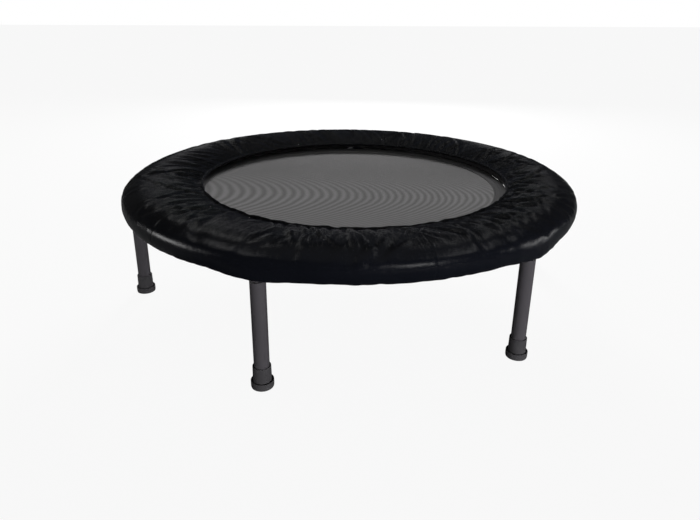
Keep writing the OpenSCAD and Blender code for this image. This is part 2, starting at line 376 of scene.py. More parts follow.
weld_beads = smoothed(joined(beads + [ring_bead], "weld_beads"), 70.0)
put_on(weld_beads, coat)
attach(weld_beads, "frame")

# ---------------------------------------------------------------- Studs, washers and nuts
# A stud on a disc in each socket, a washer between socket and leg, and a nut welded
# into each leg's top. All of them are zinc-plated steel.
zinc, tree, shader = new_finish("zinc_plate")
look = use_effect(tree, grain, place_on(tree), 2600.0, 24.0)
shader.inputs["Metallic"].default_value = 1.0
dress(
    tree, shader,
    colour=shade(tree, look["Drift"], (0.46, 0.46, 0.47), (0.70, 0.70, 0.72)),
    roughness=spread(tree, look["Drift"], 0.25, 0.75, 0.20, 0.38),
    normal=relief(tree, look["Grain"], 0.00004),
)
for name in ["leg_studs", "leg_washers"] + ["leg_nut_%d" % i for i in range(1, 7)]:
    put_on(nodes[name], zinc)

# ---------------------------------------------------------------- Rubber feet
# Moulded rubber, pushed over each leg's end. A wide base, a tapered sleeve and a lip
# round the sleeve's top that grips the tube.
foot_rings = [
    # The hollow sole and the base, with rounded edges
    (0.0135, 0.0012), (0.0145, 0.0000), (0.0166, 0.0002), (0.0182, 0.0010), (0.0187, 0.0028),
    (0.0188, 0.0060), (0.0188, 0.0120), (0.0187, 0.0127), (0.0183, 0.0130), (0.0178, 0.0128),
    (0.0176, 0.0120),
    # The groove between base and sleeve
    (0.0174, 0.0098), (0.0168, 0.0092), (0.0158, 0.0092), (0.0154, 0.0098),
    # The sleeve, its lip, and the socket that the tube stands in
    (0.0153, 0.0130), (0.0150, 0.0374), (0.0149, 0.0386), (0.0146, 0.0390), (0.0142, 0.0390),
    (0.0140, 0.0384), (0.0139, 0.0360), (0.0128, 0.0350), (0.01275, 0.0330), (0.01275, 0.0060),
]
scuff_top, scuff_share = 0.012, 0.55


def start_edit():
    """Edit mode on the active piece, with all of its mesh selected."""
    bpy.ops.object.mode_set(mode="EDIT")
    bpy.ops.mesh.select_all(action="SELECT")


def end_edit():
    """Turns every face outwards and leaves edit mode."""
    bpy.ops.mesh.select_all(action="SELECT")
    bpy.ops.mesh.normals_make_consistent(inside=False)
    bpy.ops.object.mode_set(mode="OBJECT")


def turned(name, middle, rings, sides=56):
    """A closed round piece, drawn up from its bottom through rings of (radius, height)."""
    clear_selection()
    radius, height = rings[0]
    bpy.ops.mesh.primitive_circle_add(
        vertices=sides, radius=radius, fill_type="NGON", location=(*middle, height)
    )
    piece = bpy.context.object
    piece.name = name
    start_edit()
    for next_radius, next_height in rings[1:]:
        rise, grow = next_height - height, next_radius / radius
        bpy.ops.mesh.extrude_region_move(TRANSFORM_OT_translate={"value": (0, 0, rise)})
        bpy.ops.transform.resize(
            value=(grow, grow, 1), center_override=(*middle, next_height)
        )
        radius, height = next_radius, next_height
    end_edit()
    return settled(piece)


rubber, tree, shader = new_finish("moulded_rubber")
look = use_effect(tree, grain, place_on(tree), 1100.0, 30.0)
up = step(tree, "ShaderNodeSeparateXYZ", place_on(tree), out=2)
scuff = spread(tree, up, 0.0, scuff_top, scuff_share, 0.0)
scuff = math_step(tree, "MULTIPLY", scuff, look["Drift"])
tone = summed(tree, (look["Drift"], 0.7), scuff)
dress(
    tree, shader,
    colour=shade(tree, tone, (0.050, 0.048, 0.052), (0.073, 0.071, 0.075)),
    roughness=spread(tree, look["Drift"], 0.3, 0.7, 0.52, 0.66),
    normal=relief(tree, look["Grain"], 0.00006),
)
first_foot = smoothed(turned("foot", (ring_r, 0.0), foot_rings), 38.0)
put_on(first_foot, rubber)
feet = copy_round(first_foot, leg_turns, ["rubber_foot_%d" % i for i in range(1, 7)])
for i, foot in enumerate(feet, 1):
    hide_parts("foot_%d" % i)
    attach(foot, "leg_%d" % i)

# ---------------------------------------------------------------- Mat
# A disc of dark grey polypropylene cloth in a tight plain weave, stretched flat by the
# springs. Its edge is bound with webbing.
mat_r, mat_edge = 0.3338, 0.0004
mat_low, mat_high = ring_z + 0.0024, ring_z + 0.0038
clear_selection()
bpy.ops.mesh.primitive_circle_add(
    vertices=180, radius=mat_r, fill_type="NGON", location=(0.0, 0.0, mat_low)
)
mat_cloth = bpy.context.object
mat_cloth.name = "mat_cloth"
start_edit()
bpy.ops.mesh.extrude_region_move(TRANSFORM_OT_translate={"value": (0, 0, mat_high - mat_low)})
bpy.ops.mesh.inset(thickness=mat_edge)
end_edit()
settled(mat_cloth)


def split(tree, place):
    """The X, Y and Z of a place."""
    node = tree.nodes.new("ShaderNodeSeparateXYZ")
    tree.links.new(place, node.inputs[0])
    return node.outputs


def wave(tree, run, pitch):
    """A wave of that pitch along a run, from -1 to 1."""
    return math_step(tree, "SINE", math_step(tree, "MULTIPLY", run, 2 * math.pi / pitch))


# Crossing yarns of a plain weave: Height is the yarn's crown, Gap is the hole between
weave, ends, out = effect("weave", [("Place", None), ("Yarns", 500.0)], ["Height", "Gap"])
x, y, _ = split(weave, ends.outputs["Place"])
across = math_step(weave, "MULTIPLY", x, ends.outputs["Yarns"])
along = math_step(weave, "MULTIPLY", y, ends.outputs["Yarns"])
ridges = [math_step(weave, "ABSOLUTE", wave(weave, run, 2.0)) for run in (across, along)]
cell = summed(weave, *[math_step(weave, "FLOOR", run) for run in (across, along)])
over = math_step(weave, "MODULO", math_step(weave, "ABSOLUTE", cell), 2.0)
weave.links.new(step(weave, "ShaderNodeMix", over, None, *ridges), out.inputs["Height"])
gap = math_step(weave, "LESS_THAN", math_step(weave, "MAXIMUM", *ridges), 0.35)
weave.links.new(gap, out.inputs["Gap"])

woven, tree, shader = new_finish("woven_polypropylene")
place = step(tree, "ShaderNodeMapping", place_on(tree), None, (0.0, 0.0, -camera_turn))
threads = use_effect(tree, weave, place, 620.0)
look = use_effect(tree, grain, place, 260.0, 4.0)
# Painted sheen: faint moiré arcs of the weave's sheen. They run from front to back,
# bulge to the right and lie closer together there, and they fade towards the back.
bulge_from, bulge, waver = 0.080, 5.0, 0.030
arcs_a_metre, arcs_closing = 58.0, 30.0
x, y, _ = split(tree, place)
from_bulge = math_step(tree, "ADD", y, bulge_from)
bow = math_step(tree, "MULTIPLY", math_step(tree, "MULTIPLY", from_bulge, from_bulge), bulge)
unsteady = math_step(tree, "MULTIPLY", math_step(tree, "SUBTRACT", look["Drift"], 0.5), waver)
at_arc = summed(tree, x, unsteady, bow)
arcs = math_step(tree, "MULTIPLY", at_arc, summed(tree, (at_arc, arcs_closing), arcs_a_metre))
sheen_arc_share = spread(tree, y, -0.10, 0.10, 0.62, 0.10)
sheen_arc = math_step(tree, "MULTIPLY", spread(tree, wave(tree, arcs, 1.0), -1.0, 1.0), sheen_arc_share)
# Painted shade: the yarns' crowns are lighter and the holes between them darker. The sheen arcs add
# painted sheen.
tone = summed(
    tree, (threads["Height"], 0.38), (look["Drift"], 0.22), (look["Grain"], 0.18), sheen_arc, -0.10,
    (threads["Gap"], -0.5),
)
dress(
    tree, shader,
    colour=shade(tree, tone, (0.082, 0.081, 0.0815), (0.252, 0.249, 0.2505)),
    roughness=spread(tree, look["Drift"], 0.3, 0.7, 0.58, 0.70),
    normal=relief(tree, threads["Height"], 0.0003),
)
put_on(mat_cloth, woven)
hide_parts("mat")
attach(mat_cloth, "mat")

# ---------------------------------------------------------------- Webbing round the mat
# Nylon webbing folded over the cloth's edge and sewn through with three rows of
# stitches.
web_out, web_in, web_reach = 0.3350, 0.3070, 0.32
web_half, web_mid = (web_in + web_out) / 2, ring_z + 0.0031
web_low, web_high = ring_z + 0.0012, ring_z + 0.0050
fold_r, merge_gap = 0.0019, 0.00001
fold_at = web_out - fold_r
# Half the depth, the width and the opening of the pocket that holds the cloth's edge
pocket_deep, pocket_wide, pocket_open = 0.0007, 0.00072, 0.00075
stitch_length, stitch_r, twist_pitch = 0.0031, 0.00045, 0.0007
stitch_rows = [(0.3098, 486), (0.3195, 502), (0.3318, 520)]


def section(outline):
    """A closed flat outline of (radius, height) points, standing on the +X side."""
    clear_selection()
    bpy.ops.mesh.primitive_circle_add(
        vertices=len(outline), radius=0.01, fill_type="NOTHING", location=(0, 0, 0)
    )
    piece = bpy.context.object
    for v, (r, z) in zip(piece.data.vertices, outline):
        v.co = (r, 0.0, z)
    return piece


def spun(name, outline, steps):
    """The outline turned once round the middle into a closed ring."""
    piece = section(outline)
    piece.name = name
    start_edit()
    bpy.ops.mesh.spin(
        steps=steps, angle=2 * math.pi, center=(0, 0, 0), axis=(0, 0, 1), use_auto_merge=True
    )
    bpy.ops.mesh.select_all(action="SELECT")
    bpy.ops.mesh.remove_doubles(threshold=merge_gap)
    end_edit()
    return piece


fold = [
    (fold_at + fold_r * math.cos(a), web_mid + fold_r * math.sin(a))
    for a in np.linspace(-1.4, 1.4, 9)
]
pocket = [
    (fold_at + pocket_deep * math.cos(a), web_mid + pocket_wide * math.sin(a))
    for a in np.linspace(1.5, -1.5, 5)
]
webbing_outline = (
    [(web_in, web_low), (web_half, web_low)] + fold
    + [(web_half, web_high), (web_in + 0.0003, web_high), (web_in, web_high - 0.0003)]
    + [(web_in, web_mid + pocket_open)] + pocket + [(web_in, web_mid - pocket_open)]
)
mat_webbing = smoothed(spun("mat_webbing", webbing_outline, 180), 40.0)

# Runs round the middle: Round is the distance along, true at the radius Reach, and Out
# is the distance from the middle
polar, ends, out = effect("polar", [("Place", None), ("Reach", web_reach)], ["Round", "Out"])
x, y, _ = split(polar, ends.outputs["Place"])
bearing = math_step(polar, "ARCTAN2", y, x)
run = math_step(polar, "MULTIPLY", bearing, ends.outputs["Reach"])
polar.links.new(run, out.inputs["Round"])
squared = summed(polar, *[math_step(polar, "MULTIPLY", part, part) for part in (x, y)])
polar.links.new(math_step(polar, "SQRT", squared), out.inputs["Out"])


def webbing_finish(name, along, across, dark, light):
    """Webbing: ribs across the band and a slanting twill on each rib. along and across
    are the polar runs that the band follows and crosses."""
    rib_pitch, twill_across, twill_along = 0.0018, 0.0024, 0.0036
    finish, tree, shader = new_finish(name)
    runs = use_effect(tree, polar, place_on(tree), web_reach)
    slant = summed(
        tree, (runs[across], 2 * math.pi / twill_across), (runs[along], 2 * math.pi / twill_along)
    )
    yarn = math_step(tree, "SINE", slant)
    height = summed(tree, (wave(tree, runs[along], rib_pitch), 0.3), 0.5, (yarn, 0.2))
    height = spread(tree, height, -0.1, 1.1)
    look = use_effect(tree, grain, place_on(tree), 900.0, 20.0)
    # Painted shade: the colour follows the height, darker in the troughs between ribs and yarns.
    dress(
        tree, shader,
        colour=shade(tree, summed(tree, (height, 0.6), (look["Drift"], 0.4)), dark, light),
        roughness=spread(tree, look["Drift"], 0.3, 0.7, 0.6, 0.75),
        normal=relief(tree, height, 0.0002),
    )
    return finish


border_dark, border_light = (0.040, 0.0395, 0.0405), (0.115, 0.114, 0.116)
put_on(mat_webbing, webbing_finish("webbing_round", "Round", "Out", border_dark, border_light))
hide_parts("mat_border")
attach(mat_webbing, "mat")


def stitch_row(name, radius, count):
    """A row of stitches round the mat: one short length of thread, copied count times."""
    clear_selection()
    bpy.ops.mesh.primitive_cylinder_add(
        vertices=6, radius=stitch_r, depth=stitch_length, location=(radius, 0, web_high),
        rotation=(math.pi / 2, 0, 0),
    )
    one = settled(bpy.context.object)
    for v in one.data.vertices:
        v.co.z -= stitch_r * 0.5
    turns = [2 * math.pi * i / count for i in range(count)]
    return joined(copy_round(one, turns, ["%s_%d" % (name, i) for i in range(count)]), name)


thread, tree, shader = new_finish("sewing_thread")
look = use_effect(tree, grain, place_on(tree), 3000.0, 60.0)
run = use_effect(tree, polar, place_on(tree), web_reach)["Round"]
twist = spread(tree, wave(tree, run, twist_pitch), -1.0, 1.0)
# Painted shade: the colour follows the twist, darker in its grooves.
dress(
    tree, shader,
    colour=shade(tree, twist, (0.018, 0.018, 0.019), (0.05, 0.05, 0.052)),
    roughness=spread(tree, look["Drift"], 0.3, 0.7, 0.45, 0.6),
    normal=relief(tree, twist, 0.0001),
)
rows = [stitch_row("row_%d" % i, *size) for i, size in enumerate(stitch_rows)]
border_stitches = joined(rows, "border_stitches")
put_on(border_stitches, thread)
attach(border_stitches, "mat")

# ---------------------------------------------------------------- Tabs and links
# A strap of webbing sewn under the border wraps the bar of each triangular link, which
# is bent from zinc-plated wire and welded shut.
tab_w, bar_r, tip_r, spring_count = 0.022, 0.3390, 0.3610, 30
spring_turns = [math.radians(360 / spring_count * (i + 0.5)) for i in range(spring_count)]
strap_outer, strap_inner = 0.0028, 0.0016
strap_half, strap_slit = 0.0012, 0.00006
strap_from, strap_bend = 0.3110, 0.3300
link_half_bar, link_half_tip, link_wire_r = 0.0162, 0.0048, 0.0015
bar_bend, tip_bend = 0.0030, 0.0032
lean = math.asin(strap_half / strap_outer)
round_bar = [
    (bar_r + strap_outer * math.cos(a), ring_z + strap_outer * math.sin(a))
    for a in np.linspace(math.pi - lean - 0.25, -math.pi + lean + 0.25, 18)
]
inside_bar = [
    (bar_r + strap_inner * math.cos(a), ring_z + strap_inner * math.sin(a))
    for a in np.linspace(-math.pi + 0.1, math.pi - 0.1, 16)
]
tab_outline = (
    [(strap_from, ring_z + strap_half), (strap_bend, ring_z + strap_half)] + round_bar
    + [(strap_bend, ring_z - strap_half), (strap_from, ring_z - strap_half)]
    + [(strap_from, ring_z - strap_slit)] + inside_bar + [(strap_from, ring_z + strap_slit)]
)
first_tab = section(tab_outline)
start_edit()
bpy.ops.transform.translate(value=(0, -tab_w / 2, 0))
bpy.ops.mesh.edge_face_add()
bpy.ops.mesh.extrude_region_move(TRANSFORM_OT_translate={"value": (0, tab_w, 0)})
end_edit()
tabs = copy_round(first_tab, spring_turns, ["tab_%d" % i for i in range(spring_count)])
webbing_tabs = smoothed(joined(tabs, "webbing_tabs"), 40.0)
tab_dark, tab_light = (0.006, 0.006, 0.007), (0.026, 0.026, 0.028)
put_on(webbing_tabs, webbing_finish("webbing_tabs", "Out", "Round", tab_dark, tab_light))
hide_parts("mat_tabs")
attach(webbing_tabs, "mat")


def wire_form(name, points, radius, closed, sides=3):
    """Round wire along the points, as a mesh with closed ends."""
    run = bpy.data.curves.new(name, "CURVE")
    run.dimensions = "3D"
    line = run.splines.new("POLY")
    line.points.add(len(points) - 1)
    for spot, p in zip(line.points, points):
        spot.co = (*p, 1.0)
    line.use_cyclic_u = closed
    run.bevel_depth = radius
    run.bevel_resolution = sides
    run.use_fill_caps = not closed
    piece = bpy.data.objects.new(name, run)
    bpy.context.scene.collection.objects.link(piece)
    picked(piece)
    bpy.ops.object.convert(target="MESH")
    start_edit()
    bpy.ops.mesh.remove_doubles(threshold=merge_gap)
    end_edit()
    return piece


def rounded_corners(corners, bends, steps=7):
    """The closed run through the corners, each rounded by its bend radius."""
    points = []
    for i, corner in enumerate(corners):
        here = Vector(corner)
        back = (Vector(corners[i - 1]) - here).normalized()
        on = (Vector(corners[(i + 1) % len(corners)]) - here).normalized()
        half = back.angle(on) / 2
        middle = here + (back + on).normalized() * (bends[i] / math.sin(half))
        start = here + back * (bends[i] / math.tan(half)) - middle
        end = here + on * (bends[i] / math.tan(half)) - middle
        for k in range(steps + 1):
            t = k / steps
            points.append(middle + (start * (1 - t) + end * t).normalized() * bends[i])
    return points


link_run = rounded_corners(
    [
        (bar_r, -link_half_bar, ring_z), (bar_r, link_half_bar, ring_z),
        (tip_r, link_half_tip, ring_z), (tip_r, -link_half_tip, ring_z),
    ],
    [bar_bend, bar_bend, tip_bend, tip_bend],
)
first_link = wire_form("link", link_run, link_wire_r, True)
links = copy_round(first_link, spring_turns, ["link_%d" % i for i in range(spring_count)])
link_wires = smoothed(joined(links, "link_wires"), 60.0)
put_on(link_wires, zinc)
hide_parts("spring_links")
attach(link_wires, "mat")

# ---------------------------------------------------------------- Springs
# Close-wound coils of zinc-plated spring wire. A hook holds the link's tip, and the
# straight tail goes through a hole in the ring and turns up inside it.
wire_r, coil_mid = 0.0012, 0.0058
hook_at, hook_r = 0.3632, 0.0050
# From the hook to the first coil: the distance along, aside and up
hook_neck = [
    (0.3668, 0.0, 0.0036), (0.3683, 0.0, 0.0027), (0.3700, 0.0001, 0.0020), (0.3718, 0.0004, 0.0018)
]
coil_from, coil_to, coil_turns, steps_round = 0.3752, 0.4216, 18.5, 15
cone_start, cone_growth = 0.42, 1.1
tail_at, tail_bend, tail_ease, tail_top = 0.4369, 0.0030, 0.0060, 0.0055


def spring_run():
    """The wire's middle line from the hook's end to the tail's end, along +X."""
    points = [
        (hook_at + hook_r * math.cos(a), 0.0, hook_r * math.sin(a))
        for a in np.linspace(math.radians(300), math.radians(62), 22)
    ]
    points += hook_neck
    total = int(coil_turns * steps_round)
    for i in range(total + 1):
        t = i / total
        a = 2 * math.pi * i / steps_round + math.radians(60)
        cone = cone_start + min(i, total - i) / steps_round * cone_growth
        reach = coil_mid * min(1.0, cone)
        points.append(
            (coil_from + (coil_to - coil_from) * t, reach * math.cos(a), reach * math.sin(a))
        )
    end = Vector(points[-1])
    for t in (0.25, 0.5, 0.75, 1.0):
        ease = (1 - t) ** 2
        points.append((end.x + tail_ease * t, end.y * ease, end.z * ease))
    bend_at = tail_at - tail_bend
    for a in np.linspace(-math.pi / 2, 0, 7):
        points.append(
            (bend_at + tail_bend * math.cos(a), 0.0, tail_bend + tail_bend * math.sin(a))
        )
    points.append((tail_at, 0.0, tail_top))
    return [(x, y, z + ring_z) for x, y, z in points]


first_spring = smoothed(wire_form("spring", spring_run(), wire_r, False, 2), 60.0)
put_on(first_spring, zinc)
names = ["spring_%d" % i for i in range(1, spring_count + 1)]
springs = copy_round(first_spring, spring_turns, names)
level = Vector((0, 0, ring_z))
for spring, turn in zip(springs, spring_turns):
    out_way = Vector((math.cos(turn), math.sin(turn), 0.0))
    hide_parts("springs")
    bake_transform(spring)

# ---------------------------------------------------------------- Foam
# A ring of closed-cell foam that lies on the springs and bends down over the outside
# of the frame tube. It is cut from sheet in six lengths, butted end to end.
hem_r, hem_z = 0.3210, ring_z + 0.0240
crown_r, crown_z = 0.4155, ring_z + 0.0397
girth_r, girth_z = 0.4660, ring_z + 0.0050
skirt_r, skirt_z = 0.4500, ring_z - 0.0185
pull_aside, foam_pull = 0.011, 0.4
foam_bottom, foam_least = ring_z + tube_r + 0.001, 0.0045
foam_in, foam_down_to = 0.3330, ring_z + 0.0025
tube_clear = tube_r + 0.0007
# Bearing and half width of two notches in the lip, which lift it at the back
lip_notches, notch_lift = ((1.310, 0.060), (1.095, 0.032)), 0.0050
foam_lengths, first_joint, joint_groove, joint_half = 6, 0.55, 0.0008, 0.004


def cover_line(count):
    """The cover's section from its inner hem over the crown to its skirt, evenly spaced.
    Gives the distance along, the radius, the height and the way out of the surface."""
    a = np.linspace(0, math.pi / 2, 200)
    r = np.concatenate([
        crown_r - (crown_r - hem_r) * np.cos(a),
        crown_r + (girth_r - crown_r) * np.sin(a[1:]),
        skirt_r + (girth_r - skirt_r) * np.cos(a[1:]),
    ])
    z = np.concatenate([
        hem_z + (crown_z - hem_z) * np.sin(a),
        girth_z + (crown_z - girth_z) * np.cos(a[1:]),
        girth_z - (girth_z - skirt_z) * np.sin(a[1:]),
    ])
    run = np.concatenate([[0.0], np.cumsum(np.hypot(np.diff(r), np.diff(z)))])
    s = np.linspace(0, run[-1], count)
    r, z = np.interp(s, run, r), np.interp(s, run, z)
    r_way, z_way = np.gradient(r, s), np.gradient(z, s)
    size = np.hypot(r_way, z_way)
    return s, r, z, -z_way / size, r_way / size


def drawn(turn, reach):
    """How far the elastic draws the inner hem across, to one side, fading outwards."""
    share = np.clip((crown_r - reach) / (crown_r - hem_r), 0, 1)
    return pull_aside * np.cos(turn - camera_turn) * share


s, r, z, r_out, z_out = cover_line(60)
foam_room = 0.0060 + 0.0060 * np.exp(-((s / 0.055) ** 2))
under_cover = zip(r - r_out * foam_room, z - z_out * foam_room)
foam_top = [
    (a, max(b, foam_bottom + foam_least)) for a, b in under_cover
    if a > foam_in and b > foam_down_to
]
tube_side = [
    (ring_r + tube_clear * math.cos(a), ring_z + tube_clear * math.sin(a))
    for a in np.linspace(math.radians(12), math.radians(88), 10)
]
foam_lip = [
    (0.3445, foam_bottom - 0.0106), (0.3405, foam_bottom - 0.0108), (0.3370, foam_bottom - 0.0106),
    (0.3345, foam_bottom - 0.0083), (0.3315, foam_bottom - 0.0045), (0.3300, foam_bottom),
]
foam_outline = (
    foam_lip + [(0.3306, foam_bottom + 0.0030)] + foam_top + tube_side
    + [(ring_r - 0.004, foam_bottom), (0.3760, foam_bottom), (0.3600, foam_bottom - 0.0030)]
)
foam_ring = spun("foam_ring", foam_outline, 144)
half_joints = foam_lengths / 2
# The top follows the hem a little to one side, the lip is notched, and each joint shows
# as a shallow groove.
for v in foam_ring.data.vertices:
    turn, reach = math.atan2(v.co.y, v.co.x), math.hypot(v.co.x, v.co.y)
    from_joint = abs(math.sin(half_joints * (turn - first_joint))) / half_joints * reach
    v.co.xy *= 1 + foam_pull * drawn(turn, reach) / reach * (v.co.z > foam_bottom - 0.0005)
    if v.co.z < foam_bottom - 0.0060:
        for middle, half in lip_notches:
            v.co.z += notch_lift * math.exp(-(((turn - middle) / half) ** 4))
    groove = joint_groove * math.exp(-((from_joint / joint_half) ** 2))
    v.co.z -= groove * (v.co.z > foam_bottom + 0.001)
smoothed(foam_ring, 35.0)
foam, tree, shader = new_finish("closed_cell_foam")
look = use_effect(tree, grain, place_on(tree), 700.0, 12.0)
cells = tree.nodes.new("ShaderNodeTexVoronoi")
tree.links.new(place_on(tree), cells.inputs["Vector"])
cells.inputs["Scale"].default_value = 900.0
cell = spread(tree, cells.outputs["Distance"], 0.0, 0.8)
# Painted shade: the colour is darker in the pits of the cells, where the relief is low.
tone = summed(tree, (cell, 0.5), (look["Drift"], 0.5))
dress(
    tree, shader,
    colour=shade(tree, tone, (0.020, 0.020, 0.021), (0.045, 0.045, 0.047)),
    roughness=spread(tree, look["Drift"], 0.3, 0.7, 0.75, 0.9),
    normal=relief(tree, cell, 0.0004),
)
put_on(foam_ring, foam)
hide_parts("foam_pad")
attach(foam_ring, "frame")

# ---------------------------------------------------------------- Cover
# Six panels of thin black vinyl sewn into a ring. Elastic in both hems gathers it: the
# inner hem floats over the mat in deep pleats, and the outer roll is pulled smooth.
cover_columns, cover_rows, cover_thick = 880, 44, 0.0009
first_seam, panels = math.radians(-86), 6
pleat_count, short_pleat, long_pleat = 170, (0.030, 0.080), (0.115, 0.172)
# Girth of the vinyl as cut, as a share of the finished girth: over the roll, what the
# inner hem has more, and how far from the hem that lasts
roll_share, hem_more, hem_reach, roll_reach = 1.02, 0.38, 0.060, 0.40
slope_run, slope_power, row_packing = 0.0962, 1.6, 1.2
settle_frames, drawn_share, seam_merge = 14, 0.85, 0.000002


def uneven(turn, waves, seed):
    """An uneven wave round the ring, from cosines of whole numbers of turns."""
    pick = np.random.default_rng(seed)
    value = np.zeros_like(turn)
    for count in pick.integers(*waves, 8):
        value += np.cos(count * turn + pick.uniform(0, 2 * math.pi)) * pick.uniform(0.5, 1.0)
    return value / np.std(value)


def hem_line(turn):
    """Radius and height of the inner hem at each bearing. It sags at the front and back."""
    front = np.clip(np.cos(turn - camera_turn + math.pi / 2), 0, 1) ** 2
    back = np.clip(np.cos(turn - camera_turn - math.pi / 2) + 0.5, 0, 1)
    radius = hem_r + drawn(turn, hem_r) + 0.0004 * uneven(turn, (24, 60), 5)
    height = hem_z - 0.0028 * front - 0.0050 * back + 0.0002 * uneven(turn, (30, 62), 3)
    return radius, height


def skirt_line(turn):
    """Radius and height of the skirt's hem at each bearing. It passes outside the legs and
    hangs lower at the back."""
    leg = np.clip(np.cos(6 * turn), 0, 1) ** 4
    back = np.clip(1.6 * np.cos(turn - camera_turn - math.pi / 2) + 0.45, 0, 1)
    front = np.clip(np.cos(turn - camera_turn + math.pi / 2), 0, 1)
    radius = skirt_r + 0.013 * leg + 0.0003 * uneven(turn, (30, 70), 9)
    return radius, skirt_z - 0.0085 * back + 0.0025 * front + 0.0002 * uneven(turn, (20, 50), 8)


def wrapped_grid(name, columns, across, place):
    """A grid bent round into a closed ring. place gives each (turn, row) its point."""
    clear_selection()
    rows = len(across)
    bpy.ops.mesh.primitive_grid_add(
        x_subdivisions=columns, y_subdivisions=rows - 1, size=1.0, location=(0, 0, 0),
        calc_uvs=False,
    )
    piece = bpy.context.object
    piece.name = name
    flat = np.empty(len(piece.data.vertices) * 3)
    piece.data.vertices.foreach_get("co", flat)
    flat = flat.reshape(-1, 3)
    column = np.rint((flat[:, 0] + 0.5) * columns).astype(int)
    row = np.rint((flat[:, 1] + 0.5) * (rows - 1)).astype(int)
    piece.data.vertices.foreach_set("co", place(2 * math.pi * column / columns, row).ravel())
    for label, values in (("column", column % columns), ("row", row)):
        piece.data.attributes.new(label, "INT", "POINT").data.foreach_set("value", values)
    start_edit()
    bpy.ops.mesh.remove_doubles(threshold=seam_merge)
    bpy.ops.object.mode_set(mode="OBJECT")
    piece.data.update()
    return piece


def outward_first(piece):
    """Turns all faces over if the top of the roll faces down."""
    faces = sorted(piece.data.polygons, key=lambda f: -f.center.z)[:40]
    if sum(f.normal.z for f in faces) < 0:
        piece.data.flip_normals()


# Rows lie closest together at the inner hem, and the slope inside the crown is a gentle
# one. A fold may sink by room_below and rise by room_above.
s, r, z, *_ = cover_line(cover_rows + 1)
packed = (np.arange(cover_rows + 1) / cover_rows) ** row_packing * s[-1]
r, z = np.interp(packed, s, r), np.interp(packed, s, z)
s = packed
climb = np.clip((crown_r - r) / (crown_r - hem_r), 0, 1)
z = np.where(s < slope_run, hem_z + (crown_z - hem_z) * (1 - climb**slope_power), z)
r_way, z_way = np.gradient(r, s), np.gradient(z, s)
r_out, z_out = -z_way / np.hypot(r_way, z_way), r_way / np.hypot(r_way, z_way)
from_skirt = s[-1] - s
over_roll = np.clip((s - 0.085) / 0.030, 0, 1)
room_below = 0.0036 + 0.0016 * np.exp(-((s / 0.055) ** 2)) - 0.0010 * over_roll
room_above = 0.0006 + np.minimum(0.13 * s, 0.0064) * np.exp(-((s / 0.142) ** 8))


def smooth_line(turn, row):
    """The cover's radius and height before any pleat, with its hems in place."""
    near_hem = np.exp(-((s[row] / 0.045) ** 1.6))
    near_skirt = np.exp(-((from_skirt[row] / 0.022) ** 1.6))
    hem_at, skirt_at = hem_line(turn), skirt_line(turn)
    reach = r[row] + drawn(turn, r[row]) + near_hem * (hem_at[0] - hem_r - drawn(turn, hem_r))
    reach += near_skirt * (skirt_at[0] - skirt_r)
    height = z[row] + near_hem * (hem_at[1] - hem_z) + near_skirt * (skirt_at[1] - skirt_z)
    return reach, height


def pleat_depth(turn, row):
    """Height of the pleats: single folds of uneven spacing, length, depth and lean. Each
    is a valley with a ridge on both sides, and it widens and fades away from the hem.
    They are shallower at the front hem, and over the roll at the sides and back."""
    pick = np.random.default_rng(31)
    along, reach = s[row], r[row]
    depth = np.zeros_like(along)
    for i in range(pleat_count):
        bearing = 2 * math.pi * (i + pick.uniform(-0.45, 0.45)) / pleat_count
        length = pick.choice([pick.uniform(*short_pleat), pick.uniform(*long_pleat)], p=[0.4, 0.6])
        fall = pick.uniform(0.4, 1.0) * (0.0022 + 0.028 * length)
        lean, curve = pick.normal(0.15, 0.30), pick.normal(0.0, 3.5)
        width = pick.uniform(0.0026, 0.0050) * (1 + along / 0.085)
        side = pick.choice([-1, 1])
        away = (turn - bearing + math.pi) % (2 * math.pi) - math.pi
        across = (away * reach - lean * along - curve * along**2) / width
        valley = np.exp(-np.abs(across) ** 1.1)
        high_ridge = 0.70 * np.exp(-(((across - 1.5 * side) / 1.1) ** 2))
        low_ridge = 0.25 * np.exp(-(((across + 2.0 * side) / 1.4) ** 2))
        past_end = 1 + np.exp((along - 0.86 * length) / (0.08 * length))
        fade = np.clip(along / 0.012, 0, 1) * (1 - 2.0 * along) / past_end
        depth += fall * fade * (high_ridge + low_ridge - valley)
    front = np.clip(np.cos(turn - camera_turn + math.pi / 2) + 0.15, 0, 1)
    depth *= 1 - 0.45 * front * np.exp(-((along / 0.060) ** 2))
    return depth * (1 - 0.65 * (1 - front) * np.clip((along - 0.075) / 0.030, 0, 1))


def spread_out(turn, reach, height):
    """The point at each bearing, reach and height."""
    return np.stack([reach * np.cos(turn), reach * np.sin(turn), height], -1)


def first_pleats(turn, row):
    """Where the cover starts: in line, with its pleats and the puckers at both hems."""
    reach, height = smooth_line(turn, row)
    along, up_skirt = s[row], from_skirt[row]
    pucker = np.abs(np.sin(143 * turn + 0.9 * uneven(turn, (9, 31), 12))) - 0.6
    at_hem = 0.0009 * pucker * np.exp(-((along / 0.009) ** 2)) * np.clip(along / 0.002, 0, 1)
    at_skirt = np.exp(-((up_skirt / 0.014) ** 2)) * np.clip(up_skirt / 0.004, 0, 1)
    pleat = pleat_depth(turn, row) + at_hem
    pleat += 0.0004 * uneven(turn, (70, 130), 7) * at_skirt
    return spread_out(turn, reach + r_out[row] * pleat, height + z_out[row] * pleat)


vinyl_cover = wrapped_grid("vinyl_cover", cover_columns, s, first_pleats)
outward_first(vinyl_cover)
cut_share = roll_share + hem_more * np.exp(-((s / hem_reach) ** 1.4))
count = len(vinyl_cover.data.vertices)
column, row = np.empty(count, int), np.empty(count, int)
vinyl_cover.data.attributes["column"].data.foreach_get("value", column)
vinyl_cover.data.attributes["row"].data.foreach_get("value", row)
turn = 2 * math.pi * column / cover_columns
